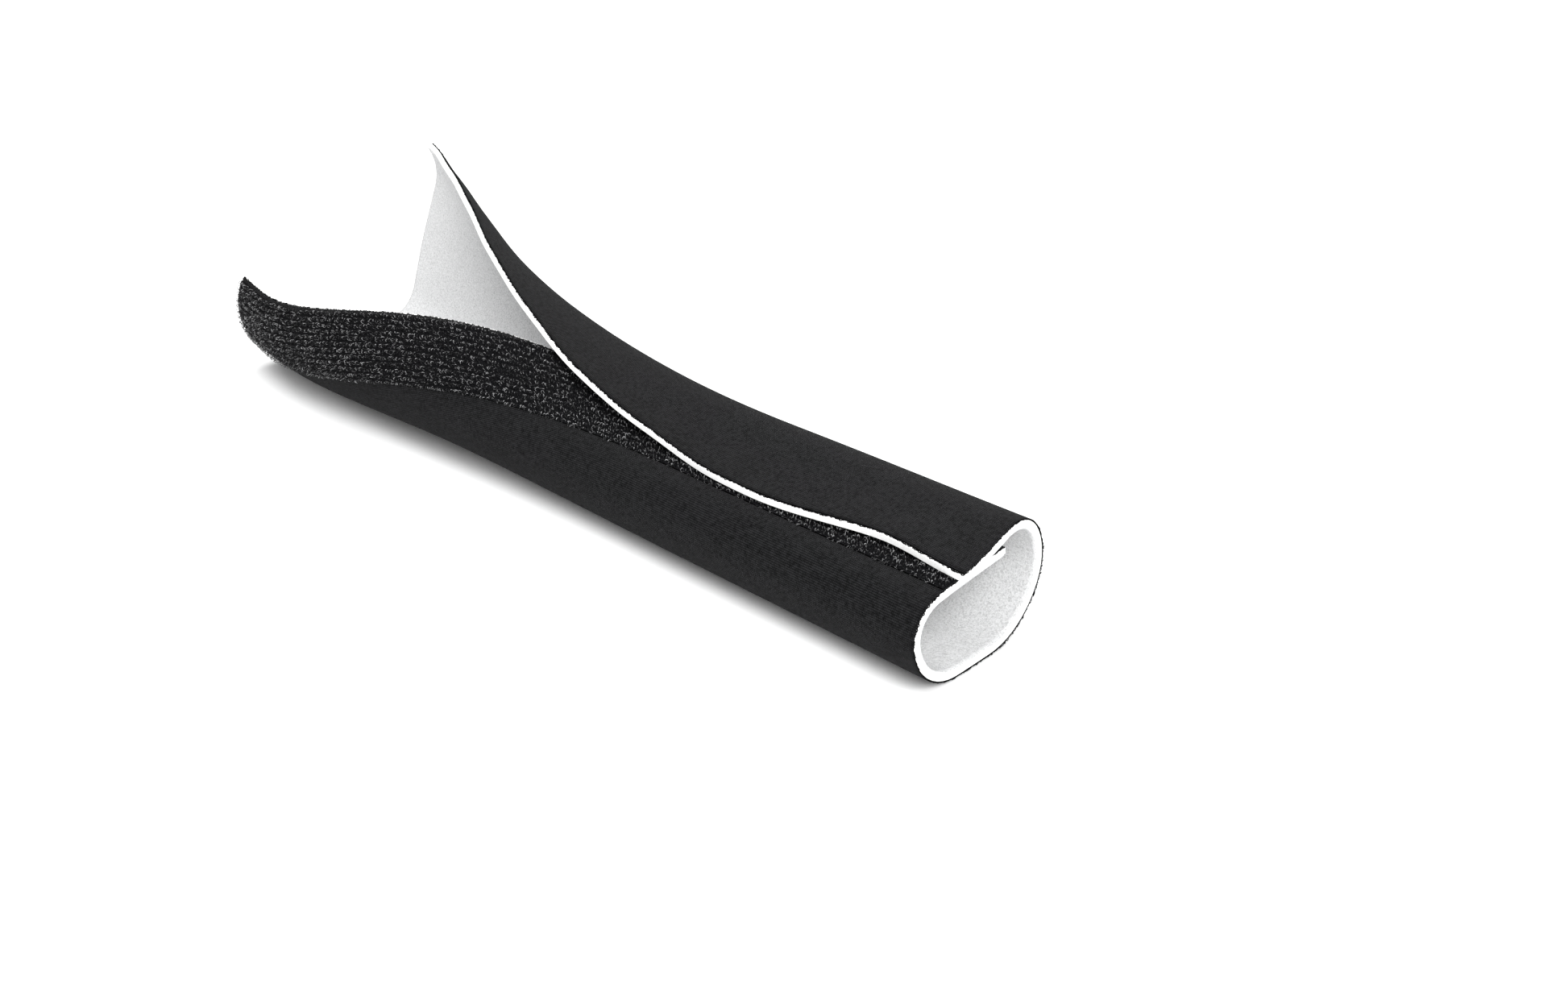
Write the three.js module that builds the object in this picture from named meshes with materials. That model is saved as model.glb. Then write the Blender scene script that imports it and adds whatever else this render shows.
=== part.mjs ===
// Hook and loop cable sleeve: a flat laminated sheet, wrapped into a tube and pressed shut along its length.
// It is closed at the +X end and peeled open towards the -X end.
// Units are millimetres. +X runs along the sleeve, +Z is up, and the sleeve lies on the plane z = 0.
import * as THREE from 'three';

// The flat sheet
const girth = 138; // width of the sheet, which is the distance round the closed tube and its overlap
const length = 265; // along the sleeve
const knitThickness = 0.4; // black knit face, outside
const foamThickness = 1.6; // white foam core
const liningThickness = 0.4; // brushed loop lining, inside

// The hook tape on the outer face, along the free edge of the under flap
const tapeWidth = 19;
const tapeMargin = 1; // bare knit between the tape and the sheet's edge
const tapeThickness = 0.4; // woven base
const hookHeight = 0.6; // of a row of hooks above the base
const hookRows = 14;
const closingGap = 0.3; // between the hooks and the loop lining that closes on them

// The closed section, as bends of the outer face. Turns are in degrees, followed from the under flap's edge.
const underFlapWidth = 21; // from the free edge to the first bend
const underFlapSlope = 6; // fall of the under flap towards the front
const underFlapCurve = 0.002; // curvature of the under flap, in 1/mm
const shoulderRadius = 9.2; // front bend below the under flap
const shoulderTurn = 92;
const frontRadius = 15.5; // front bend above the floor
const restWidth = 12; // flat strip that the sleeve lies on
const backRadius = 18; // back bend above the floor
const backTurn = 62;
const outerFlapSlope = 12; // fall of the outer flap towards the seam
const blendWidth = 4; // length over which one curvature passes into the next

// The opening, where the flaps come apart. Each stretch is measured from the closed end.
const outerFlapOpening = { from: 68, to: 300 };
const underFlapOpening = { from: 84, to: 250 };
const crownOpen = -0.05; // share of the crown's curvature that is left at the open end
const backOpen = 1.15; // share of the back bend's curvature left there
const frontOpen = 0.1; // share of the front bend's curvature left there
const shoulderOpen = 0.5; // share of the shoulder's curvature left there
const outerFlapCurl = 0.06; // curvature that the outer flap gains, in 1/mm
const underFlapCurl = 0.055; // curvature that the under flap gains, in 1/mm

// The whole sleeve bends gently sideways as it opens
const bowStart = 80; // from the closed end
const bowOffset = 20; // at the open end, towards +Y

// Fineness of the model
const closedSteps = 5; // along the closed stretch
const openSteps = 14; // along the opening stretch
const bendStep = 3.4; // round the section
const integrationStep = 0.25; // of the section's outline

const radians = THREE.MathUtils.degToRad;
const wall = knitThickness + foamThickness + liningThickness;
const closedStack = tapeThickness + hookHeight + closingGap;
const tapeStart = tapeMargin;
const tapeEnd = tapeMargin + tapeWidth;

// Share of the way through an opening, with an even start and end
function openingShare(stretch, station) {
  return THREE.MathUtils.smoothstep(station, stretch.from, stretch.to);
}

// Integral of a smoothstep from 0 to t, for turning curvature steps into headings
function smoothstepIntegral(t) {
  const inside = THREE.MathUtils.clamp(t, 0, 1);
  return inside ** 3 - inside ** 4 / 2 + Math.max(t - 1, 0);
}

// Bends of the section at one station: the length of each and its curvature
function bendsAt(station, crownRadius) {
  const outer = openingShare(outerFlapOpening, station);
  const under = openingShare(underFlapOpening, station);
  const frontTurn = 180 - underFlapSlope - shoulderTurn - THREE.MathUtils.radToDeg(underFlapCurve * underFlapWidth);
  const crownTurn = 180 + outerFlapSlope - backTurn;
  const relaxed = (left, share) => THREE.MathUtils.lerp(1, left, share);
  return [
    { length: underFlapWidth, curvature: underFlapCurve + underFlapCurl * under },
    { length: shoulderRadius * radians(shoulderTurn), curvature: relaxed(shoulderOpen, under) / shoulderRadius },
    { length: frontRadius * radians(frontTurn), curvature: relaxed(frontOpen, under) / frontRadius },
    { length: restWidth, curvature: 0 },
    { length: backRadius * radians(backTurn), curvature: relaxed(backOpen, outer) / backRadius },
    { length: crownRadius * radians(crownTurn), curvature: relaxed(crownOpen, outer) / crownRadius },
    { length: Infinity, curvature: outerFlapCurl * outer },
  ];
}

// Heading of the outer face at a distance from the under flap's edge, before the section is set level
function headingAt(bends, distance) {
  let heading = bends[0].curvature * distance;
  let end = 0;
  for (let i = 0; i + 1 < bends.length; i += 1) {
    end += bends[i].length;
    const step = bends[i + 1].curvature - bends[i].curvature;
    heading += step * blendWidth * smoothstepIntegral((distance - end) / blendWidth + 0.5);
  }
  return heading;
}

// Outline of the outer face at one station, finely stepped, with the rest strip level on z = 0
function outlineAt(station, crownRadius) {
  const bends = bendsAt(station, crownRadius);
  const restMiddle = bends[0].length + bends[1].length + bends[2].length + restWidth / 2;
  const level = headingAt(bends, restMiddle);
  const steps = Math.ceil(girth / integrationStep);
  const step = girth / steps;
  const outline = [{ distance: 0, y: 0, z: 0, heading: headingAt(bends, 0) - level }];
  for (let i = 1; i <= steps; i += 1) {
    const before = outline[i - 1];
    const middle = headingAt(bends, (i - 0.5) * step) - level;
    outline.push({
      distance: i * step,
      y: before.y + Math.cos(middle) * step,
      z: before.z + Math.sin(middle) * step,
      heading: headingAt(bends, i * step) - level,
    });
  }
  const origin = sampleOutline(outline, restMiddle);
  for (const point of outline) {
    point.y -= origin.y;
    point.z -= origin.z;
  }
  return outline;
}

// Point of an outline at a distance from the under flap's edge
function sampleOutline(outline, distance) {
  const place = THREE.MathUtils.clamp((distance / girth) * (outline.length - 1), 0, outline.length - 1);
  const i = Math.min(Math.floor(place), outline.length - 2);
  const share = place - i;
  const mix = (key) => THREE.MathUtils.lerp(outline[i][key], outline[i + 1][key], share);
  return { y: mix('y'), z: mix('z'), heading: mix('heading') };
}

// Clear height of the outer flap's edge over the under flap in the closed section
function closingHeight(crownRadius) {
  const outline = outlineAt(0, crownRadius);
  const edge = outline[outline.length - 1];
  const inner = { y: edge.y - Math.sin(edge.heading) * wall, z: edge.z + Math.cos(edge.heading) * wall };
  const seen = outline
    .filter(({ distance }) => distance <= underFlapWidth)
    .map((point) => {
      const reach = { y: inner.y - point.y, z: inner.z - point.z };
      return {
        along: Math.abs(reach.y * Math.cos(point.heading) + reach.z * Math.sin(point.heading)),
        height: reach.y * Math.sin(point.heading) - reach.z * Math.cos(point.heading),
      };
    });
  return seen.reduce((best, next) => (next.along < best.along ? next : best)).height;
}

// The crown's radius is worked out so that the outer flap lands on the hooks
function solveCrownRadius() {
  let low = 4;
  let high = 40;
  for (let i = 0; i < 40; i += 1) {
    const middle = (low + high) / 2;
    if (closingHeight(middle) > closedStack) high = middle;
    else low = middle;
  }
  return (low + high) / 2;
}

const crownRadius = solveCrownRadius();

// Stations along the sleeve, measured from the closed end
function stationList() {
  const stations = [];
  for (let i = 0; i < closedSteps; i += 1) stations.push((outerFlapOpening.from * i) / closedSteps);
  const open = length - outerFlapOpening.from;
  for (let i = 0; i <= openSteps; i += 1) stations.push(outerFlapOpening.from + (open * i) / openSteps);
  return stations;
}

// Distances round the section at which the sheet has its points, with exact ones at the tape's edges
function girthList() {
  const marks = [0, tapeStart, tapeEnd, girth];
  const distances = [];
  for (let i = 0; i + 1 < marks.length; i += 1) {
    const span = marks[i + 1] - marks[i];
    const steps = Math.ceil(span / (marks[i] === tapeStart ? tapeWidth / 4 : bendStep));
    for (let k = 0; k < steps; k += 1) distances.push(marks[i] + (span * k) / steps);
  }
  distances.push(girth);
  return distances;
}

const stations = stationList();
const outlines = stations.map((station) => outlineAt(station, crownRadius));

// Point in space at a station and a distance, lowered into the wall by a depth (negative stands out of it)
function sheetPoint(index, distance, depth) {
  const { y, z, heading } = sampleOutline(outlines[index], distance);
  const x = length / 2 - stations[index];
  const bow = bowOffset * (Math.max(stations[index] - bowStart, 0) / (length - bowStart)) ** 2;
  return new THREE.Vector3(x, y + bow - Math.sin(heading) * depth, z + Math.cos(heading) * depth);
}

// Grid of points, one row for each station, at the given distances and depths
function pointGrid(places) {
  return stations.map((_, index) => places.map(({ distance, depth }) => sheetPoint(index, distance, depth)));
}

// Triangles between the rows of a grid, always split along the same diagonal so that touching layers match
function addBand(triangles, rows, facing) {
  for (let i = 0; i + 1 < rows.length; i += 1) {
    for (let j = 0; j + 1 < rows[i].length; j += 1) {
      const [a, b, c, d] = [rows[i][j], rows[i][j + 1], rows[i + 1][j + 1], rows[i + 1][j]];
      if (facing > 0) triangles.push(a, c, b, a, d, c);
      else triangles.push(a, b, c, a, c, d);
    }
  }
}

// One triangle of an end face, turned to face along X or against it
function addEndTriangle(triangles, a, b, c, facing) {
  const area = (b.y - a.y) * (c.z - a.z) - (b.z - a.z) * (c.y - a.y);
  if (facing * area > 0) triangles.push(a, b, c);
  else triangles.push(a, c, b);
}

// End face between two lines of points. Points that stand out of the outer line are capped first.
function addEnd(triangles, outer, inner, isPeak, facing) {
  outer.forEach((point, k) => {
    if (isPeak(k)) addEndTriangle(triangles, outer[k - 1], point, outer[k + 1], facing);
  });
  const line = outer.filter((point, k) => !isPeak(k));
  let i = 0;
  let j = 0;
  while (i + 1 < line.length || j + 1 < inner.length) {
    const outerReach = i + 1 < line.length ? line[i + 1].distanceTo(inner[j]) : Infinity;
    const innerReach = j + 1 < inner.length ? line[i].distanceTo(inner[j + 1]) : Infinity;
    if (outerReach < innerReach) {
      addEndTriangle(triangles, line[i], line[i + 1], inner[j], facing);
      i += 1;
    } else {
      addEndTriangle(triangles, line[i], inner[j + 1], inner[j], facing);
      j += 1;
    }
  }
}

// Closed solid between an outer and an inner grid whose first and last columns face each other
function solidBetween(outer, inner, isPeak = () => false) {
  const triangles = [];
  const last = outer.length - 1;
  addBand(triangles, outer, 1);
  addBand(triangles, inner, -1);
  addBand(triangles, outer.map((row, i) => [inner[i][0], row[0]]), 1);
  addBand(triangles, outer.map((row, i) => [row[row.length - 1], inner[i][inner[i].length - 1]]), 1);
  addEnd(triangles, outer[0], inner[0], isPeak, 1);
  addEnd(triangles, outer[last], inner[last], isPeak, -1);
  const geometry = new THREE.BufferGeometry().setFromPoints(triangles);
  geometry.computeVertexNormals();
  return geometry;
}

const girthDistances = girthList();

// One layer of the sheet, between two depths below the outer face
function layerGeometry(outerDepth, innerDepth) {
  const gridAt = (depth) => pointGrid(girthDistances.map((distance) => ({ distance, depth })));
  return solidBetween(gridAt(outerDepth), gridAt(innerDepth));
}

// Hook tape: a woven base with lengthwise rows of hooks, on the same points as the knit below it
function hookTapeGeometry() {
  const base = girthDistances.filter((distance) => distance >= tapeStart && distance <= tapeEnd);
  const pitch = tapeWidth / hookRows;
  const top = [{ distance: tapeStart, depth: -tapeThickness }];
  for (let row = 0; row < hookRows; row += 1) {
    const middle = tapeStart + (row + 0.5) * pitch;
    top.push({ distance: middle - pitch * 0.3, depth: -tapeThickness });
    top.push({ distance: middle, depth: -tapeThickness - hookHeight });
    top.push({ distance: middle + pitch * 0.3, depth: -tapeThickness });
  }
  top.push({ distance: tapeEnd, depth: -tapeThickness });
  const isPeak = (k) => top[k].depth < -tapeThickness;
  return solidBetween(pointGrid(top), pointGrid(base.map((distance) => ({ distance, depth: 0 }))), isPeak);
}

function fabric(color, roughness) {
  return new THREE.MeshStandardMaterial({ color, roughness, metalness: 0 });
}

function piece(name, geometry, material) {
  const mesh = new THREE.Mesh(geometry, material);
  mesh.name = name;
  return mesh;
}

const group = new THREE.Group();
const foamDepth = knitThickness + foamThickness;
group.add(
  piece('outer_knit_face', layerGeometry(0, knitThickness), fabric(0x26272a, 0.95)),
  piece('foam_core', layerGeometry(knitThickness, foamDepth), fabric(0xf4f4f2, 0.9)),
  piece('loop_lining', layerGeometry(foamDepth, wall), fabric(0xd9dadb, 1)),
  piece('hook_tape', hookTapeGeometry(), fabric(0x17181a, 0.7)),
);

// The origin is under the middle of the sleeve
const bounds = new THREE.Box3().setFromObject(group);
group.position.y = -(bounds.min.y + bounds.max.y) / 2;

export default group;
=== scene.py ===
# %% [markdown]
# # Hook and loop cable sleeve
# A sheet of foam, with knit on its outside and brushed loops on its inside, is wrapped
# into a tube. A tape of small hooks along one edge grips the loops, so the tube closes
# along its length and peels open again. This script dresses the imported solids: it
# rebuilds each layer finely on the same curved surface, grows the hooks and the cut
# edges, and lights the result.

import math

import bpy
import numpy as np
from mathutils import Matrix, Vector


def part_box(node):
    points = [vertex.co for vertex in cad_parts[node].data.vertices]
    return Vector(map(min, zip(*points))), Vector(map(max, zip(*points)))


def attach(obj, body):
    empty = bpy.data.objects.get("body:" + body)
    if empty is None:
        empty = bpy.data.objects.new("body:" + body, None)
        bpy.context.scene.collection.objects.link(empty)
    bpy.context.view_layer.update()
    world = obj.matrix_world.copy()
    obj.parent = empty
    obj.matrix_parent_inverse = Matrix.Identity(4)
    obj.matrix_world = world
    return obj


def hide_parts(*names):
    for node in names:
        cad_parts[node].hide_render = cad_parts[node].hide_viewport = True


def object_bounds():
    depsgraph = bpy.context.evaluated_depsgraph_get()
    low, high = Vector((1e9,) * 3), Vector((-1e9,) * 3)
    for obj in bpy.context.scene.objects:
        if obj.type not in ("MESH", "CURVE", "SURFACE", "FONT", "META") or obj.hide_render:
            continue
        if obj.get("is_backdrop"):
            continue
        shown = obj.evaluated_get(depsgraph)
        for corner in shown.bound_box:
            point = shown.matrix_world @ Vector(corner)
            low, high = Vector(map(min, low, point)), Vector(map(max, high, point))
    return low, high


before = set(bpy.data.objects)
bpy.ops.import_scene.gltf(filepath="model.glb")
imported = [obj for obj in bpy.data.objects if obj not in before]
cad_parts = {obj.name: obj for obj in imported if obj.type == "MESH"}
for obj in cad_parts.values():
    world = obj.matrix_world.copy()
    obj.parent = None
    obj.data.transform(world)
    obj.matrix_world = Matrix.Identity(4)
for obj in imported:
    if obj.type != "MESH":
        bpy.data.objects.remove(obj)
cad_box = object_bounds()
MM = 0.001
print("nodes in the frame:", sorted(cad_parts))

# %% [markdown]
# ## Sizes
# The real sleeve starts as a flat sheet of three glued layers, with a hook tape near
# one long edge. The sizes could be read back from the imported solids, but naming them
# once more in millimetres keeps every formula below readable.

# %% Sizes of the sheet in millimetres
GIRTH, LENGTH = 138.0, 265.0
KNIT, FOAM, LINING = 0.4, 1.6, 0.4
WALL = KNIT + FOAM + LINING
TAPE_WIDTH, TAPE_MARGIN, TAPE_BASE = 19.0, 1.0, 0.4
CLOSED_STACK = TAPE_BASE + 0.6 + 0.3
print("wall in mm:", WALL, "and stack of tape, hooks and gap in mm:", CLOSED_STACK)

# %% [markdown]
# ## How the sheet bends
# Across the tube the sheet runs through an under flap, a shoulder, a front bend, a flat
# rest, a back bend, a crown and an outer flap. Drawing each section by hand would let
# the layers drift apart. Here every stretch has a length and a curvature, and peeling
# the sleeve only changes curvatures, so the sheet never stretches.

# %% Bends of the closed tube, and what opening leaves of them
UNDER_WIDTH, UNDER_SLOPE, UNDER_CURVE = 21.0, 6.0, 0.002
SHOULDER_RADIUS, SHOULDER_TURN = 9.2, 92.0
FRONT_RADIUS, REST_WIDTH = 15.5, 12.0
BACK_RADIUS, BACK_TURN = 18.0, 62.0
OUTER_SLOPE, BLEND = 12.0, 4.0
OUTER_OPENING, UNDER_OPENING = (68.0, 300.0), (84.0, 250.0)
CROWN_OPEN, BACK_OPEN, FRONT_OPEN, SHOULDER_OPEN = -0.05, 1.15, 0.1, 0.5
OUTER_CURL, UNDER_CURL = 0.06, 0.055
BOW_START, BOW_OFFSET = 80.0, 20.0


def share(stretch, station):
    """A soft step from 0 to 1 over a stretch."""
    t = min(max((station - stretch[0]) / (stretch[1] - stretch[0]), 0.0), 1.0)
    return t * t * (3 - 2 * t)


print("outer flap opened at the far end:", round(share(OUTER_OPENING, LENGTH), 3))

# %% [markdown]
# ## Lengths and curvatures at one station
# A station is a distance from the near end. The front and crown turns are whatever is
# left of half a circle, so the flaps always come to rest at their own slopes. That is
# simpler than solving for angles.


# %% The stretches of one section
def bends(station, crown):
    outer, under = share(OUTER_OPENING, station), share(UNDER_OPENING, station)
    under_turn = math.degrees(UNDER_CURVE * UNDER_WIDTH)
    front_turn = 180 - UNDER_SLOPE - SHOULDER_TURN - under_turn
    crown_turn = 180 + OUTER_SLOPE - BACK_TURN
    lengths = [
        UNDER_WIDTH,
        SHOULDER_RADIUS * math.radians(SHOULDER_TURN),
        FRONT_RADIUS * math.radians(front_turn),
        REST_WIDTH,
        BACK_RADIUS * math.radians(BACK_TURN),
        crown * math.radians(crown_turn),
    ]
    curvatures = [
        UNDER_CURVE + UNDER_CURL * under,
        (1 + (SHOULDER_OPEN - 1) * under) / SHOULDER_RADIUS,
        (1 + (FRONT_OPEN - 1) * under) / FRONT_RADIUS,
        0.0,
        (1 + (BACK_OPEN - 1) * outer) / BACK_RADIUS,
        (1 + (CROWN_OPEN - 1) * outer) / crown,
        OUTER_CURL * outer,
    ]
    return lengths, curvatures


print("stretches in a section:", len(bends(0.0, BACK_RADIUS)[1]))

# %% [markdown]
# ## From curvature to points
# Real foam turns from one bend to the next over a few millimetres. A spline through
# control points could do that, but it would change the length of the sheet. Curvature
# is integrated to heading, and heading to position, so the length is exact.

# %% The section at one station
SECTION_STEPS = 553


def step_integral(t):
    """The integral of a soft step, which blends one curvature into the next."""
    inside = np.clip(t, 0, 1)
    return inside**3 - inside**4 / 2 + np.maximum(t - 1, 0)


def section(station, crown):
    lengths, curvatures = bends(station, crown)

    def heading(distance):
        total, end = curvatures[0] * distance, 0.0
        for i, reach in enumerate(lengths):
            end += reach
            change = curvatures[i + 1] - curvatures[i]
            total = total + change * BLEND * step_integral((distance - end) / BLEND + 0.5)
        return total

    rest = sum(lengths[:3]) + REST_WIDTH / 2
    level = heading(np.array([rest]))[0]
    d = np.linspace(0, GIRTH, SECTION_STEPS)
    middle = heading((d[1:] + d[:-1]) / 2) - level
    y = np.concatenate([[0], np.cumsum(np.cos(middle) * np.diff(d))])
    z = np.concatenate([[0], np.cumsum(np.sin(middle) * np.diff(d))])
    return d, y - np.interp(rest, d, y), z - np.interp(rest, d, z), heading(d) - level


trial = section(0.0, BACK_RADIUS)
print("width and height of a trial section in mm:", np.ptp(trial[1]), np.ptp(trial[2]))

# %% [markdown]
# ## Closing the tube
# When the sleeve is pressed shut, the outer flap lies on the hooks. Its height depends
# on the crown's radius in no simple way, so the radius is found by halving a range
# until the flap's inner edge is one stack above the under flap.

# %% The crown radius that lands the outer flap on the hooks
HALVINGS = 40


def closing_height(crown):
    d, y, z, h = section(0.0, crown)
    edge = np.array([y[-1] - math.sin(h[-1]) * WALL, z[-1] + math.cos(h[-1]) * WALL])
    near = d <= UNDER_WIDTH
    reach_y, reach_z = edge[0] - y[near], edge[1] - z[near]
    along = reach_y * np.cos(h[near]) + reach_z * np.sin(h[near])
    height = reach_y * np.sin(h[near]) - reach_z * np.cos(h[near])
    return height[np.abs(along).argmin()]


low, high = 4.0, 40.0
for _ in range(HALVINGS):
    crown_radius = (low + high) / 2
    if closing_height(crown_radius) > CLOSED_STACK:
        high = crown_radius
    else:
        low = crown_radius
print("crown radius in mm:", round(crown_radius, 3))

# %% [markdown]
# ## Cloth is never even
# A soft ripple runs over the sheet, 0.16 mm at most, presses the free edge down by up
# to 0.7 mm, and dies out on the floor. Noise would do as well, but a few sines give the
# same ripple at every depth, so the layers keep their thickness.

# %% Ripple
EDGE_REACH = 13.0
EDGE_PRESS, BROAD_RIPPLE = 0.34, 0.16
EDGE_WAVES = [(0.5, 9.1, 0.6), (0.3, 4.3, 2.1), (0.2, 16.7, 0.0)]
REST_MIDDLE, REST_HALF, REST_FADE = 56.0, 14.0, 12.0


def near_edge(distance):
    """1 at the outer flap's free edge, fading to 0 away from it."""
    return np.exp(-(((GIRTH - distance) / EDGE_REACH) ** 2))


def ripple(station, distance):
    edge = near_edge(distance)
    wave = sum(size * np.sin(station / pitch + phase) for size, pitch, phase in EDGE_WAVES)
    across = np.sin(distance / 29.0 - station / 47.0)
    broad = np.sin(station / 21.0 + distance / 17.0) * across
    off_floor = np.clip((np.abs(distance - REST_MIDDLE) - REST_HALF) / REST_FADE, 0, 1)
    return -EDGE_PRESS * edge * (wave + 1.0) + BROAD_RIPPLE * broad * off_floor * (1 - edge)


print("ripple at the free edge in mm:", round(float(ripple(0.0, np.array([GIRTH]))[0]), 3))

# %% [markdown]
# ## The seam wanders and the end is cut by hand
# A seam that is pressed shut by hand reaches over the tape in one place and lifts in
# another, and scissors leave an end that isn't quite square. Both could be sculpted
# afterwards, but then the hooks and stitches would have to follow. As part of the
# surface's own formula they carry everything with them.

# %% Seam and cut line, in millimetres
CUT_CORNER, CUT_CORNER_FROM = 2.6, 100.0
CUT_DIP, CUT_DIP_MIDDLE, CUT_DIP_REACH = 1.1, 94.0, 24.0
SEAM_REACH, REACH_MIDDLE, REACH_LENGTH, REACH_STAND = 2.8, 60.0, 26.0, 0.4
SEAM_LIFT, LIFT_MIDDLE, LIFT_LENGTH, DRAWN_BACK = 0.6, 22.0, 13.0, 2.6
FOAM_PROUD = 0.5


def swell(place, middle, reach):
    return math.exp(-(((place - middle) / reach) ** 2))


def cut_line(distance):
    """How far the cut end stands forward of a square cut, in mm."""
    corner = share((CUT_CORNER_FROM, GIRTH), distance)
    return CUT_CORNER * corner - CUT_DIP * swell(distance, CUT_DIP_MIDDLE, CUT_DIP_REACH)


print("cut line at the free edge in mm:", round(cut_line(GIRTH), 3))

# %% [markdown]
# ## Points on the sheet
# Every piece below asks this one function where it lies. It gives points at a depth
# under the outer face, and the outward direction there. Past the sheet's edge it goes
# straight on, which lets the foam stand a little proud.


# %% Surface points, at a depth below the outer face
def surface(stations, distances, depth, uneven=1.0):
    """Points and outward normals of the sheet, in mm, at a depth below its outer face."""
    forward = np.array([cut_line(distance) for distance in distances])
    edge = uneven * near_edge(distances)
    rows, normals = [], []
    for station in stations:
        d, y, z, h = section(float(station), crown_radius)
        lifted = swell(station, LIFT_MIDDLE, LIFT_LENGTH)
        reached = swell(station, REACH_MIDDLE, REACH_LENGTH)
        laid = distances + edge * (SEAM_REACH * reached - SEAM_LIFT * DRAWN_BACK * lifted)
        beyond = laid - np.clip(laid, 0, GIRTH)
        y, z, h = (np.interp(laid, d, a) for a in (y, z, h))
        y, z = y + beyond * np.cos(h), z + beyond * np.sin(h)
        bow = BOW_OFFSET * (max(station - BOW_START, 0) / (LENGTH - BOW_START)) ** 2
        stand = edge * (SEAM_LIFT * lifted + REACH_STAND * reached)
        inward = depth - uneven * ripple(station, distances) - stand
        x = LENGTH / 2 - station + forward
        rows.append(np.column_stack([x, y + bow - np.sin(h) * inward, z + np.cos(h) * inward]))
        normals.append(np.column_stack([np.zeros_like(h), np.sin(h), -np.cos(h)]))
    return np.array(rows), np.array(normals)


both_edges = surface([0.0], np.array([0.0, GIRTH]), 0.0)[0][0]
print("the two free edges at the near end, in mm:", both_edges.round(2).tolist())

# %% [markdown]
# ## Lining the formula up
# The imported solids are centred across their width, and the formula starts from the
# middle of the rest. The difference is measured here, on an even surface, and never
# typed in, so it stays right if a size changes. Along the sleeve and upwards the two
# already share their zero.

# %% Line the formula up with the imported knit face
probe_stations, probe_distances = np.linspace(0, LENGTH, 80), np.linspace(0, GIRTH, 300)
probe = np.concatenate(
    [
        surface(probe_stations, probe_distances, depth, 0.0)[0].reshape(-1, 3)
        for depth in (0.0, KNIT)
    ]
)
knit_low, knit_high = (np.array(corner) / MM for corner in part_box("outer_knit_face"))
shift = (knit_low + knit_high) / 2 - (probe.min(0) + probe.max(0)) / 2
shift[[0, 2]] = 0.0
gaps = np.array([probe.min(0) + shift - knit_low, probe.max(0) + shift - knit_high])
print("shift in mm:", shift.round(3), "largest gap to the CAD box in mm:", np.abs(gaps).max())

# %% [markdown]
# ## Making a mesh
# Each object is built from arrays of points and faces, which is quicker and more exact
# than operators. Its UV map is in millimetres, the distance round the sheet and the
# station along it, so a weave has its real pitch everywhere.


# %% Mesh helper
def new_object(name, points, faces, uv=None, smooth=None):
    mesh = bpy.data.meshes.new(name)
    mesh.from_pydata((points + shift) * MM, [], faces)
    if uv is not None:
        corner = np.empty(len(mesh.loops), np.int32)
        mesh.loops.foreach_get("vertex_index", corner)
        layer_uv = mesh.uv_layers.new(name="sheet_mm")
        layer_uv.data.foreach_set("uv", uv[corner].astype(np.float32).ravel())
    if smooth is not None:
        mesh.polygons.foreach_set("use_smooth", smooth)
    mesh.update()
    obj = bpy.data.objects.new(name, mesh)
    bpy.context.scene.collection.objects.link(obj)
    return obj


# %% [markdown]
# ## A layer as one closed body
# A Solidify modifier could thicken a single surface, but neighbouring layers would
# then disagree by a hair at the bends. Taking both faces from the formula makes them
# meet exactly. The faces have to point out of the body, so its signed volume decides
# their order.


# %% Faces of a slab, and the slab itself
def slab_faces(ns, nd):
    grid = np.arange(ns * nd).reshape(ns, nd)
    under = grid + ns * nd
    outer = np.stack([grid[:-1, :-1], grid[1:, :-1], grid[1:, 1:], grid[:-1, 1:]], -1)
    inner = np.stack([under[:-1, :-1], under[:-1, 1:], under[1:, 1:], under[1:, :-1]], -1)
    ring = np.concatenate([grid[0, :-1], grid[:-1, -1], grid[-1, :0:-1], grid[:0:-1, 0]])
    after = np.roll(ring, -1)
    rim = np.stack([ring, after, after + ns * nd, ring + ns * nd], -1)
    faces = np.concatenate([outer.reshape(-1, 4), inner.reshape(-1, 4), rim])
    return faces, len(faces) - len(rim)


def signed_volume(points, faces):
    tri = np.concatenate([faces[:, [0, 1, 2]], faces[:, [0, 2, 3]]])
    a, b, c = (points[tri[:, k]] for k in range(3))
    return np.einsum("ij,ij->i", a, np.cross(b, c)).sum() / 6


def layer(name, outer_depth, inner_depth, stations, distances):
    top, _ = surface(stations, distances, outer_depth)
    bottom, _ = surface(stations, distances, inner_depth)
    points = np.concatenate([top.reshape(-1, 3), bottom.reshape(-1, 3)])
    faces, broad = slab_faces(len(stations), len(distances))
    if signed_volume(points, faces) < 0:
        faces = faces[:, ::-1]
    d, s = np.meshgrid(distances, stations)
    uv = np.tile(np.column_stack([d.ravel(), s.ravel()]), (2, 1))
    obj = new_object(name, points, faces.tolist(), uv, np.arange(len(faces)) < broad)
    print(name, "has", 2 * len(faces), "triangles")
    return obj


# %% [markdown]
# ## Knit, foam, lining and tape
# From outside in: a thin stretch knit, soft white foam, and a brushed lining that is
# the loop half of the closure. The hook tape's woven base is glued on the outside of
# the under flap. The foam is cut with them, but springs out past them a little.

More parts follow.
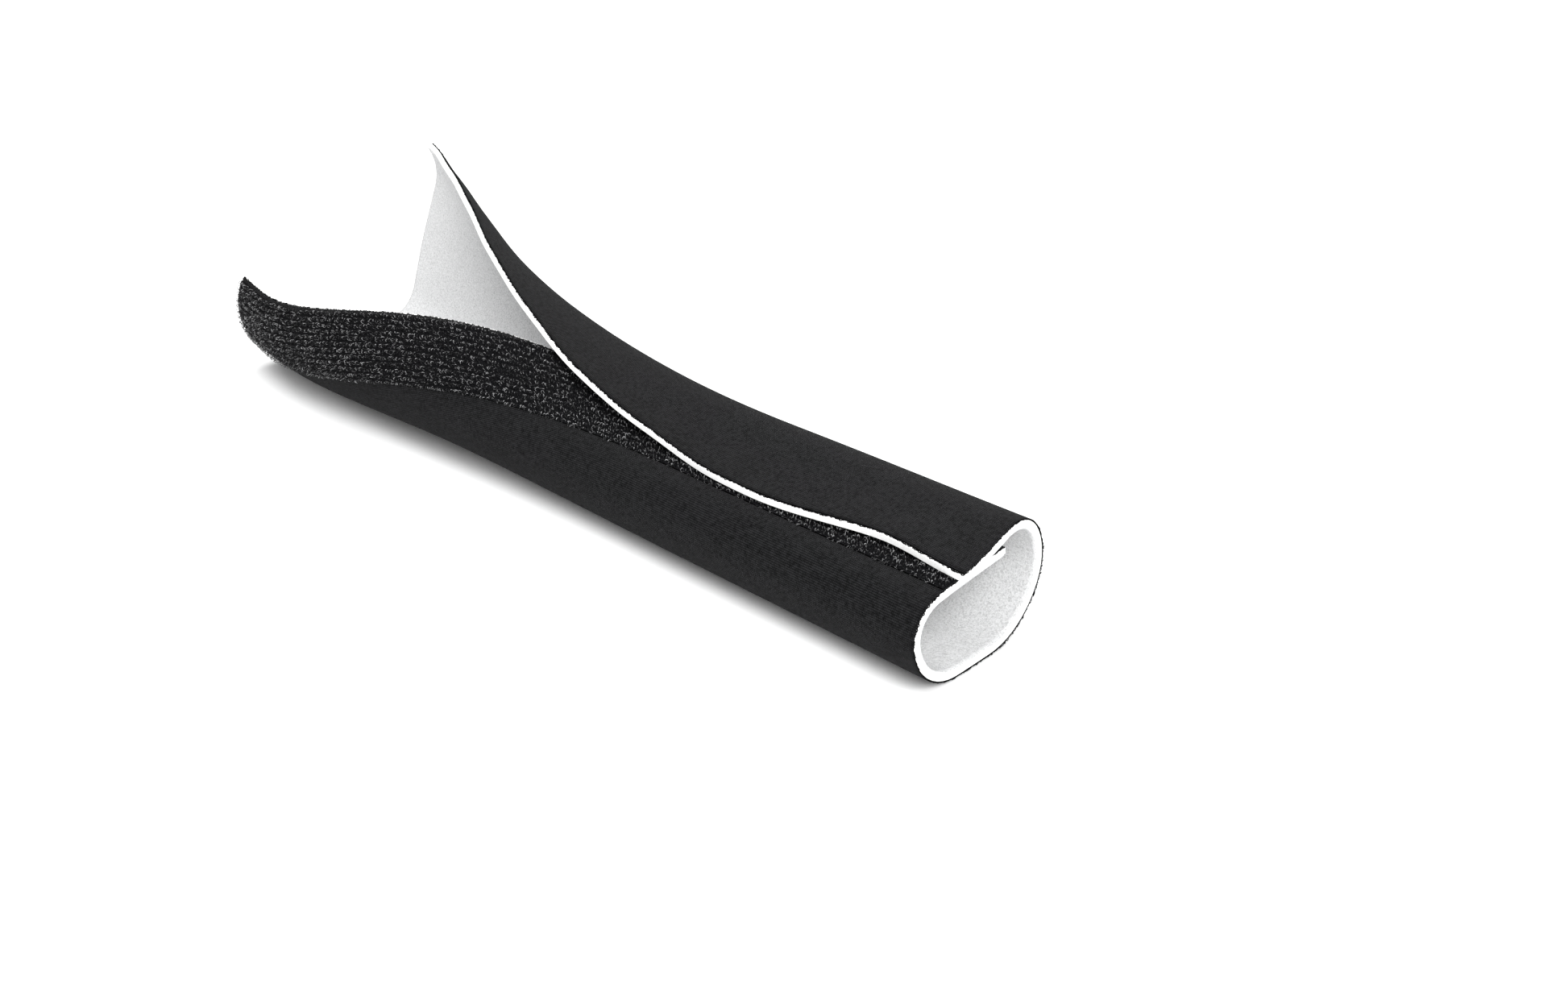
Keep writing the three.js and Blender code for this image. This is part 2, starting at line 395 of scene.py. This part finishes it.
# %% The four layers
fine_stations = np.linspace(0, LENGTH, 241)
fine = np.linspace(0, GIRTH, 131)
foam_span = np.linspace(-FOAM_PROUD, GIRTH + FOAM_PROUD, 67)
tape_span = np.linspace(TAPE_MARGIN, TAPE_MARGIN + TAPE_WIDTH, 25)
knit = layer("knit_face", 0.0, KNIT, fine_stations, fine)
foam = layer("foam_sheet", KNIT, KNIT + FOAM, fine_stations, foam_span)
lining = layer("brushed_lining", KNIT + FOAM, WALL, fine_stations, fine)
tape = layer("hook_tape_base", -TAPE_BASE, 0.0, fine_stations, tape_span)

# %% [markdown]
# ## One strand
# Hooks, loose threads and stitch loops are all short bent strands. A curve with a bevel
# is the usual way, but thousands of copies need a strand with very few faces, so a
# small ring is swept along five points, and its last ring is narrower.

# %% A strand swept along a path, in millimetres
TIP_SHARE = 0.55


def strand(name, path, radius, sides):
    path = np.array(path, float)
    side = np.array([0.0, 1.0, 0.0])
    turns = [2 * math.pi * k / sides for k in range(sides)]
    rings = []
    for i, p in enumerate(path):
        tangent = path[min(i + 1, len(path) - 1)] - path[max(i - 1, 0)]
        tangent /= np.linalg.norm(tangent)
        up = np.cross(tangent, side)
        width = radius * (1.0 if i < len(path) - 1 else TIP_SHARE)
        rings.append([p + width * (math.cos(t) * side + math.sin(t) * up) for t in turns])
    points = np.array(rings).reshape(-1, 3)
    faces = [tuple(range(sides)), tuple(reversed(range(len(points) - sides, len(points))))]
    for i in range(len(path) - 1):
        a, b = i * sides, (i + 1) * sides
        for k in range(sides):
            m = (k + 1) % sides
            faces.append((a + k, b + k, b + m, a + m))
    mesh = bpy.data.meshes.new(name)
    mesh.from_pydata(points * MM, [], faces)
    mesh.polygons.foreach_set("use_smooth", np.ones(len(faces), bool))
    print(name, "has", len(faces), "faces")
    return mesh


# %% [markdown]
# ## One hook
# A hook is a nylon strand that stands up from the tape and bends over. It is a little
# under a millimetre high, and three sides are enough at that size.

# %% The hook
HOOK_HEIGHT, HOOK_PITCH, ROW_PITCH = 0.95, 0.92, 0.84
hook_path = [
    (0, 0, -0.15),
    (-0.12, 0, 0.45),
    (0.04, 0, 0.84),
    (0.42, 0, HOOK_HEIGHT),
    (0.72, 0, 0.6),
]
hook_mesh = strand("hook_shape", hook_path, 0.09, 3)

# %% [markdown]
# ## Points that carry the strands
# A strand is put on a bare point, which stores the direction that it stands in and the
# one that it leans to. Instances on a face could take the face's normal, but they
# couldn't lean one way in one row and the other way in the next.


# %% Carrier points and rows of them
def carriers(name, points, stand, lean):
    """A mesh of bare points, each with the direction it stands in and the one it leans to."""
    obj = new_object(name, points, [])
    for label, value in (("stand", stand), ("lean", lean)):
        field = obj.data.attributes.new(label, "FLOAT_VECTOR", "POINT")
        field.data.foreach_set("vector", np.ascontiguousarray(value, np.float32).ravel())
    return obj


def rows_of_points(stations, distances, depth, jitter, seed):
    random = np.random.default_rng(seed)
    points, normals, across = [], [], []
    for station in stations:
        along = [station + random.uniform(-jitter, jitter)]
        p, n = surface(along, distances + random.uniform(-jitter, jitter, len(distances)), depth)
        points.append(p[0])
        normals.append(n[0])
        across.append(np.column_stack([np.zeros(len(distances)), -n[0][:, 2], n[0][:, 1]]))
    return (np.concatenate(a) for a in (points, normals, across))


# %% [markdown]
# ## Nodes for the scattering tree
# Geometry Nodes copy one strand to thousands of points in one step. Three small helpers
# make the nodes that the tree below uses more than once or that need settings.


# %% Node helpers
def stored_vector(tree, label):
    node = tree.nodes.new("GeometryNodeInputNamedAttribute")
    node.data_type = "FLOAT_VECTOR"
    node.inputs["Name"].default_value = label
    return node.outputs["Attribute"]


def random_between(tree, lowest, highest, seed):
    """A random float for each point. Its float sockets are inputs 2 and 3 and output 1."""
    node = tree.nodes.new("FunctionNodeRandomValue")
    node.data_type = "FLOAT"
    node.inputs["Seed"].default_value = seed
    tree.links.new(lowest, node.inputs[2])
    tree.links.new(highest, node.inputs[3])
    return node.outputs[1]


def standing(tree, turn):
    """A rotation that stands a strand up, leans it, and turns it on its own foot."""
    align = tree.nodes.new("FunctionNodeAxesToRotation")
    align.primary_axis, align.secondary_axis = "Z", "X"
    tree.links.new(stored_vector(tree, "stand"), align.inputs[0])
    tree.links.new(stored_vector(tree, "lean"), align.inputs[1])
    angles = tree.nodes.new("ShaderNodeCombineXYZ")
    spin = tree.nodes.new("FunctionNodeEulerToRotation")
    rotate = tree.nodes.new("FunctionNodeRotateRotation")
    rotate.rotation_space = "LOCAL"
    tree.links.new(turn, angles.inputs["Z"])
    tree.links.new(angles.outputs[0], spin.inputs[0])
    tree.links.new(align.outputs[0], rotate.inputs[0])
    tree.links.new(spin.outputs[0], rotate.inputs[1])
    return rotate.outputs[0]


# %% [markdown]
# ## The scattering tree
# Its inputs are the smallest and largest size, how far a strand may turn either way,
# and the finish. It ends in Realize Instances and Set Material, because an exported
# model keeps only real faces.

# %% The tree
SCATTER_INPUTS = (("Size from", 0.9), ("Size to", 1.1), ("Turn", 0.2))


def scatter_tree(name, shape, seed):
    tree = bpy.data.node_groups.new(name, "GeometryNodeTree")
    face, node, link = tree.interface, tree.nodes.new, tree.links.new
    face.new_socket("Geometry", in_out="INPUT", socket_type="NodeSocketGeometry")
    for label, value in SCATTER_INPUTS:
        socket = face.new_socket(label, in_out="INPUT", socket_type="NodeSocketFloat")
        socket.default_value = value
    face.new_socket("Material", in_out="INPUT", socket_type="NodeSocketMaterial")
    face.new_socket("Geometry", in_out="OUTPUT", socket_type="NodeSocketGeometry")
    come, go = node("NodeGroupInput"), node("NodeGroupOutput")
    info, place = node("GeometryNodeObjectInfo"), node("GeometryNodeInstanceOnPoints")
    real, paint = node("GeometryNodeRealizeInstances"), node("GeometryNodeSetMaterial")
    back = node("ShaderNodeMath")
    back.operation, back.inputs[1].default_value = "MULTIPLY", -1.0
    info.inputs["Object"].default_value = shape
    size = random_between(tree, come.outputs["Size from"], come.outputs["Size to"], seed)
    link(come.outputs["Turn"], back.inputs[0])
    turn = random_between(tree, back.outputs[0], come.outputs["Turn"], seed + 1)
    link(come.outputs["Geometry"], place.inputs["Points"])
    link(info.outputs["Geometry"], place.inputs["Instance"])
    link(standing(tree, turn), place.inputs["Rotation"])
    link(size, place.inputs["Scale"])
    link(place.outputs[0], real.inputs[0])
    link(real.outputs[0], paint.inputs["Geometry"])
    link(come.outputs["Material"], paint.inputs["Material"])
    link(paint.outputs[0], go.inputs[0])
    return tree


# %% [markdown]
# ## Growing the strands
# The modifier's inputs are set by identifier before the object is first evaluated.
# The evaluated result is then copied into a plain mesh and the modifier goes, so the
# piece no longer depends on the tree.


# %% Grow strands on carrier points
def scatter(obj, shape_mesh, seed, material, size_from, size_to, turn):
    shape = bpy.data.objects.new(shape_mesh.name, shape_mesh)
    tree = scatter_tree(obj.name + "_tree", shape, seed)
    modifier = obj.modifiers.new("scatter", "NODES")
    modifier.node_group = tree
    sockets = [item for item in tree.interface.items_tree if item.in_out == "INPUT"]
    names = {item.name: item.identifier for item in sockets}
    values = {"Size from": size_from, "Size to": size_to, "Turn": turn, "Material": material}
    for label, value in values.items():
        modifier[names[label]] = value
    bpy.context.view_layer.update()
    evaluated = obj.evaluated_get(bpy.context.evaluated_depsgraph_get())
    made = bpy.data.meshes.new_from_object(evaluated)
    obj.modifiers.clear()
    obj.data = made
    made.materials.clear()
    made.materials.append(material)
    bpy.data.objects.remove(shape)
    print(obj.name, "has", sum(len(p.vertices) - 2 for p in made.polygons), "triangles")
    return obj


# %% [markdown]
# ## Helpers for finishes
# Every finish starts from the Principled shader, and its pattern comes from nodes and
# not from pictures. Numbers that are the same all over go on the shader's own sockets,
# because an exported model drops them otherwise.


# %% Material helpers
def shader(name, color, roughness, **extra):
    material = bpy.data.materials.new(name)
    material.use_nodes = True
    bsdf = material.node_tree.nodes["Principled BSDF"]
    bsdf.inputs["Base Color"].default_value = (*color, 1)
    bsdf.inputs["Roughness"].default_value = roughness
    for socket, value in extra.items():
        bsdf.inputs[socket.replace("_", " ")].default_value = value
    print("finish:", name)
    return material, material.node_tree, bsdf


def math_node(tree, operation, *values):
    node = tree.nodes.new("ShaderNodeMath")
    node.operation = operation
    for i, value in enumerate(values):
        if isinstance(value, (int, float)):
            node.inputs[i].default_value = value
        else:
            tree.links.new(value, node.inputs[i])
    return node.outputs[0]


def noise(tree, scale, detail):
    """Noise in the object's own place, with a scale in repeats a metre."""
    node = tree.nodes.new("ShaderNodeTexNoise")
    node.inputs["Scale"].default_value = scale
    node.inputs["Detail"].default_value = detail
    place = tree.nodes.new("ShaderNodeTexCoord").outputs["Object"]
    tree.links.new(place, node.inputs["Vector"])
    return node.outputs["Fac"]


def paint_by(tree, bsdf, factor, stops):
    node = tree.nodes.new("ShaderNodeValToRGB")
    ends = node.color_ramp.elements
    ends[0].position, ends[0].color = stops[0][0], (*stops[0][1], 1)
    ends[1].position, ends[1].color = stops[-1][0], (*stops[-1][1], 1)
    for position, color in stops[1:-1]:
        ends.new(position).color = (*color, 1)
    tree.links.new(factor, node.inputs["Fac"])
    tree.links.new(node.outputs["Color"], bsdf.inputs["Base Color"])


def bump(tree, bsdf, height, strength, distance):
    node = tree.nodes.new("ShaderNodeBump")
    node.inputs["Strength"].default_value = strength
    node.inputs["Distance"].default_value = distance
    tree.links.new(height, node.inputs["Height"])
    tree.links.new(node.outputs["Normal"], bsdf.inputs["Normal"])


# %% [markdown]
# ## Ribs of knit and weave
# Knit shows columns of small vees, and a woven tape shows plain crossings. One shared
# group makes both: folded sines across and along the sheet, where the vee input leans
# the courses. A picture of cloth would repeat and blur, and sines never do.

# %% A shared group for ribs in two directions
RIB_INPUTS = (("Wale mm", 0.65), ("Course mm", 0.6), ("Vee", 0.5))
RIB_ROUND, COURSE_SHARE, COURSE_BASE = 0.6, 0.65, 0.35


def folded_sine(tree, value):
    wave = math_node(tree, "SINE", math_node(tree, "MULTIPLY", value, math.pi))
    return math_node(tree, "ABSOLUTE", wave)


def rib_group():
    tree = bpy.data.node_groups.new("ribs", "ShaderNodeTree")
    for label, value in RIB_INPUTS:
        socket = tree.interface.new_socket(label, in_out="INPUT", socket_type="NodeSocketFloat")
        socket.default_value = value
    tree.interface.new_socket("Height", in_out="OUTPUT", socket_type="NodeSocketFloat")
    come, go = tree.nodes.new("NodeGroupInput"), tree.nodes.new("NodeGroupOutput")
    uv = tree.nodes.new("ShaderNodeUVMap")
    uv.uv_map = "sheet_mm"
    split = tree.nodes.new("ShaderNodeSeparateXYZ")
    tree.links.new(uv.outputs[0], split.inputs[0])
    wale = math_node(tree, "DIVIDE", split.outputs[0], come.outputs["Wale mm"])
    course = math_node(tree, "DIVIDE", split.outputs[1], come.outputs["Course mm"])
    across = folded_sine(tree, wale)
    lean = math_node(tree, "MULTIPLY", across, come.outputs["Vee"])
    along = folded_sine(tree, math_node(tree, "ADD", course, lean))
    crossing = math_node(tree, "MULTIPLY", along, COURSE_SHARE)
    crossing = math_node(tree, "ADD", crossing, COURSE_BASE)
    rounded = math_node(tree, "POWER", across, RIB_ROUND)
    tree.links.new(math_node(tree, "MULTIPLY", rounded, crossing), go.inputs["Height"])
    return tree


ribs = rib_group()


def add_ribs(tree, wale, course, vee):
    node = tree.nodes.new("ShaderNodeGroup")
    node.node_tree = ribs
    for (label, _), value in zip(RIB_INPUTS, (wale, course, vee)):
        node.inputs[label].default_value = value
    return node.outputs["Height"]


print("shared rib group:", ribs.name)

# %% [markdown]
# ## Black knit
# The outside is a matt black knit of half-millimetre ribs, with single fibres that
# catch light. Gloss would wash the black out, so nearly all of its pattern is in the
# colour and the bump, with a trace of sheen at glancing angles. The colour is painted
# darker in the grooves between the ribs, as painted shade of the relief.

# %% Black knit
KNIT_TONES = [(0.12, (0.0012, 0.0012, 0.0014)), (1.0, (0.0185, 0.0185, 0.0198))]
knit_look, tree, bsdf = shader(
    "black_knit_look",
    (0.012, 0.012, 0.013),
    0.9,
    Specular_IOR_Level=0.05,
    Sheen_Weight=0.03,
    Sheen_Roughness=0.35,
)
rib = add_ribs(tree, 0.5, 0.46, 0.5)
worn = math_node(tree, "MULTIPLY", noise(tree, 160.0, 3.0), 0.6)
fibre = math_node(tree, "MULTIPLY", noise(tree, 1100.0, 3.0), 3.0)
shade = math_node(tree, "ADD", worn, math_node(tree, "SUBTRACT", fibre, 0.9))
# The rib height paints the grooves darker, as painted shade of the relief; the two noises only
# vary the tone at random.
paint_by(tree, bsdf, math_node(tree, "MULTIPLY", rib, shade), KNIT_TONES)
bump(tree, bsdf, rib, 1.0, 0.0003)

# %% [markdown]
# ## White foam
# Only the foam's cut faces show, as a white band with tiny cells. Real cells could be
# cut out, but at a few tenths of a millimetre fine noise in colour and bump is enough.

# %% White foam
FOAM_TONES = [(0.3, (0.84, 0.84, 0.83)), (0.7, (0.96, 0.96, 0.955))]
foam_look, tree, bsdf = shader("white_foam_look", (0.9, 0.9, 0.89), 0.8, Specular_IOR_Level=0.2)
cells = noise(tree, 2600.0, 2.0)
paint_by(tree, bsdf, cells, FOAM_TONES)
bump(tree, bsdf, cells, 0.3, 0.0001)

# %% [markdown]
# ## Brushed lining
# The inside is a light grey nap of loose loops. Hair would be heavy and wouldn't be
# exported, so two sizes of noise, fine nap and larger tufts, give its speckle.

# %% Brushed lining
LINING_TONES = [
    (0.36, (0.42, 0.423, 0.426)),
    (0.5, (0.62, 0.623, 0.626)),
    (0.64, (0.73, 0.733, 0.736)),
]
lining_look, tree, bsdf = shader(
    "brushed_lining_look", (0.6, 0.61, 0.62), 1.0, Specular_IOR_Level=0.05
)
nap = math_node(tree, "MULTIPLY", noise(tree, 4200.0, 3.0), 0.6)
tuft = math_node(tree, "MULTIPLY", noise(tree, 1900.0, 2.0), 0.4)
fuzz = math_node(tree, "ADD", nap, tuft)
paint_by(tree, bsdf, fuzz, LINING_TONES)
bump(tree, bsdf, fuzz, 0.5, 0.0003)

# %% [markdown]
# ## Woven base of the tape
# Between the hooks lies a tight black weave. It uses the same ribs without the vee,
# and is darker than the hooks so that they stand out. Its colour is painted darker
# between the crossings, as painted shade of the relief.

# %% Woven base of the tape
WEAVE_TONES = [(0.0, (0.001, 0.001, 0.0012)), (1.0, (0.008, 0.008, 0.009))]
tape_look, tree, bsdf = shader(
    "hook_tape_look", (0.006, 0.006, 0.006), 0.8, Specular_IOR_Level=0.04
)
weave = add_ribs(tree, 0.5, 0.42, 0.0)
# The weave height paints the gaps between crossings darker, as painted shade.
paint_by(tree, bsdf, weave, WEAVE_TONES)
bump(tree, bsdf, weave, 0.6, 0.00015)

# %% [markdown]
# ## Hooks and threads
# Hooks are glossy nylon. Each catches the light or doesn't, which a noise about as
# large as one hook imitates at any distance, as a painted highlight in the colour.
# The loose threads at the tape's edge get the same painted highlight.

# %% Hooks and threads
# The light stop is a painted highlight on random hooks; the hooks' own colour is the dark stop.
HOOK_TONES = [(0.5, (0.002, 0.002, 0.0025)), (0.64, (0.31, 0.31, 0.315))]
hook_look, tree, bsdf = shader("hook_look", (0.02, 0.02, 0.022), 0.3, Specular_IOR_Level=0.28)
paint_by(tree, bsdf, noise(tree, 1000.0, 2.0), HOOK_TONES)

# The light stop is a painted highlight on random threads.
THREAD_TONES = [(0.45, (0.01, 0.01, 0.011)), (0.66, (0.22, 0.22, 0.225))]
thread_look, tree, bsdf = shader(
    "edge_thread_look", (0.3, 0.3, 0.31), 0.45, Specular_IOR_Level=0.4
)
paint_by(tree, bsdf, noise(tree, 700.0, 2.0), THREAD_TONES)

layer_looks = ((knit, knit_look), (foam, foam_look), (lining, lining_look), (tape, tape_look))
for obj, look in layer_looks:
    obj.data.materials.append(look)

# %% [markdown]
# ## The hooks
# On the real tape, hooks are cut from woven loops, so neighbouring rows lean opposite
# ways. They are grown in two pieces, one for each way, which also keeps each piece
# small enough. A little jitter stops the rows from looking ruled.

# %% Grow the hooks
HOOK_JITTER = 0.24
hook_stations = np.arange(0.3, LENGTH - 0.2, HOOK_PITCH)
hook_columns = np.arange(TAPE_MARGIN + 0.15, TAPE_MARGIN + TAPE_WIDTH - 0.05, ROW_PITCH)
hook_pieces = []
for label, columns, way, seed in (
    ("upper", hook_columns[::2], 1.0, 11),
    ("lower", hook_columns[1::2], -1.0, 12),
):
    rows = rows_of_points(hook_stations, columns, -TAPE_BASE, HOOK_JITTER, seed)
    points, normals, across = rows
    piece = carriers("hooks_" + label, points, normals, way * across)
    hook_pieces.append(scatter(piece, hook_mesh, 10 * seed, hook_look, 0.8, 1.05, 1.1))

# %% [markdown]
# ## Loose threads
# The tape's woven edge sheds short threads that lie any way round. They are few and
# uneven, so their stations are drawn at random, from a fixed seed, instead of spaced.

# %% Loose threads along the tape's woven edge
THREADS = 420
random = np.random.default_rng(8)
thread_stations = np.sort(random.uniform(0.4, LENGTH - 0.4, THREADS))
thread_line = np.array([TAPE_MARGIN + TAPE_WIDTH - 0.05])
rows = rows_of_points(thread_stations, thread_line, -TAPE_BASE * 0.6, 0.1, 9)
threads = carriers("tape_edge_threads", *rows)
thread_path = [
    (-0.5, -0.15, 0.0),
    (-0.1, 0.05, 0.22),
    (0.35, 0.12, 0.2),
    (0.6, 0.0, 0.02),
    (0.5, -0.25, -0.1),
]
thread_mesh = strand("thread_shape", thread_path, 0.055, 3)
scatter(threads, thread_mesh, 41, thread_look, 0.35, 1.1, 2.6)

# %% [markdown]
# ## Cut edges
# Scissors leave the knit's outermost stitches as a row of tiny loops that stand a
# little over the white foam, which is what makes the seam line look slightly ragged.
# A torn texture on the edge wouldn't change its outline, and real loops do.

# %% One stitch loop, and points along the cut edges
STITCH_PITCH, STITCH_DEPTH = 0.62, KNIT * 0.45
loop_path = [
    (-0.2, -0.3, -0.05),
    (0.15, -0.24, 0.02),
    (0.36, 0.0, -0.1),
    (0.15, 0.24, 0.02),
    (-0.2, 0.3, -0.05),
]
loop_mesh = strand("stitch_loop", loop_path, 0.15, 4)


def long_edge_points(random):
    rows = []
    for distance, way in ((0.0, -1.0), (GIRTH, 1.0)):
        for station in np.arange(0.2, LENGTH, STITCH_PITCH):
            depth = STITCH_DEPTH + random.uniform(-0.05, 0.12)
            p, n = surface([station], np.array([distance]), depth)
            slide = np.array([random.uniform(-0.15, 0.15), 0, 0])
            out = way * np.array([0, -n[0, 0, 2], n[0, 0, 1]])
            rows.append((p[0, 0] + slide, n[0, 0], out))
    return rows


def end_points(random):
    rows = []
    distances = np.arange(0.2, GIRTH, STITCH_PITCH)
    for station, way in ((0.0, 1.0), (LENGTH, -1.0)):
        slid = distances + random.uniform(-0.12, 0.12, len(distances))
        p, n = surface([station], slid, STITCH_DEPTH)
        rows.extend((a, b, np.array([way, 0, 0])) for a, b in zip(p[0], n[0]))
    return rows


# %% [markdown]
# ## Growing the stitches
# The loops are the knit's own yarn, so they take the knit's finish. Sizes and turns
# vary more than the hooks' do, because nothing holds a cut stitch in line.

# %% Stitch loops along the cut edges
random = np.random.default_rng(5)
rows = long_edge_points(random) + end_points(random)
stitches = carriers("edge_stitches", *(np.array(column) for column in zip(*rows)))
scatter(stitches, loop_mesh, 31, knit_look, 0.6, 1.35, 0.9)

# %% [markdown]
# ## Who rides on what
# There are no joints, so every piece rides on the one body, and each fine layer stands
# for its imported node.

# %% Pieces and bodies
for obj, node, slot in (
    (knit, "outer_knit_face", "black_knit"),
    (foam, "foam_core", "white_foam"),
    (lining, "loop_lining", "loop_lining"),
    (tape, "hook_tape", "hook_tape"),
):
    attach(obj, "root")
    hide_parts(node)
tape_trim = hook_pieces + [threads]
for obj, slot in [(piece, "hook_tape") for piece in tape_trim] + [(stitches, "black_knit")]:
    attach(obj, "root")
print("pieces that ride on the root:", 4 + len(tape_trim) + 1)

# %% [markdown]
# ## Floor
# The floor is one large pale square, a hair below the sleeve so that no faces share a
# plane. It is bright enough to render white, except in the contact shadow.

# %% Floor
HALF, DROP = 3, 0.0004
floor_mesh = bpy.data.meshes.new("floor")
corners = ((-HALF, -HALF), (HALF, -HALF), (HALF, HALF), (-HALF, HALF))
floor_corners = [(x, y, -DROP) for x, y in corners]
floor_mesh.from_pydata(floor_corners, [], [(0, 1, 2, 3)])
floor = bpy.data.objects.new("floor", floor_mesh)
bpy.context.scene.collection.objects.link(floor)
floor_look, tree, bsdf = shader("floor_look", (0.97, 0.97, 0.97), 0.9, Specular_IOR_Level=0.0)
floor_mesh.materials.append(floor_look)
floor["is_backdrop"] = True

# %% [markdown]
# ## Light
# A product on white is lit from all round, so an even white world does most of the
# work. A soft lamp above, one at the open end and a weak one behind give the folds
# their shape without hard shadows. The view transform is plain, so colours render as
# they are written.


# %% Lights
def area_light(name, place, aim, size, power):
    data = bpy.data.lights.new(name, "AREA")
    data.shape, data.size, data.energy = "DISK", size, power
    obj = bpy.data.objects.new(name, data)
    obj.location = place
    toward = Vector(aim) - Vector(place)
    obj.rotation_euler = toward.to_track_quat("-Z", "Y").to_euler()
    bpy.context.scene.collection.objects.link(obj)
    print("lamp", name, "at", power, "W")


area_light("key", (-0.1, -0.35, 1.2), (0, 0, 0), 0.9, 8.0)
area_light("end", (0.62, -0.28, 0.5), (0.1, 0, 0.01), 0.45, 6.0)
area_light("back", (-0.2, 0.7, 1.1), (0, 0, 0.02), 1.1, 2.4)
world = bpy.data.worlds.new("studio")
bpy.context.scene.world = world
world.use_nodes = True
background = world.node_tree.nodes["Background"]
background.inputs["Color"].default_value = (1, 1, 1, 1)
background.inputs["Strength"].default_value = 0.78
bpy.context.scene.view_settings.view_transform = "Standard"

# %% [markdown]
# ## Camera
# Its direction, distance and lens were solved together from the outlines in the
# photograph, because guessing them one at a time never makes all outlines agree.

# %% Camera
AZIMUTH, ELEVATION = math.radians(44.3), math.radians(26.6)
IMAGE_WIDTH, FOCAL_PIXELS, SENSOR = 1946, 1950, 36.0
back = Vector(
    (
        math.sin(AZIMUTH) * math.cos(ELEVATION),
        -math.cos(AZIMUTH) * math.cos(ELEVATION),
        math.sin(ELEVATION),
    )
)
camera_data = bpy.data.cameras.new("camera")
camera_data.sensor_width, camera_data.lens = SENSOR, FOCAL_PIXELS / IMAGE_WIDTH * SENSOR
camera_data.clip_start, camera_data.clip_end = 0.01, 20
camera = bpy.data.objects.new("camera", camera_data)
bpy.context.scene.collection.objects.link(camera)
camera.location = (0.3010, -0.2422, 0.1828)
camera.rotation_euler = (-back).to_track_quat("-Z", "Y").to_euler()
bpy.context.scene.camera = camera
print("lens in mm:", round(camera_data.lens, 2))

# %% [markdown]
# ## Checking the size
# Looks may not change the part's dimensions. The box of the solids and the box of the
# dressed part are both kept before the script ends, and the largest growth of one over
# the other is printed.

# %% Keep both boxes and finish
look_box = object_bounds()
growth = max(
    max(cad_box[0][k] - look_box[0][k], look_box[1][k] - cad_box[1][k]) for k in range(3)
)
print("largest growth over the CAD box in mm:", growth / MM)
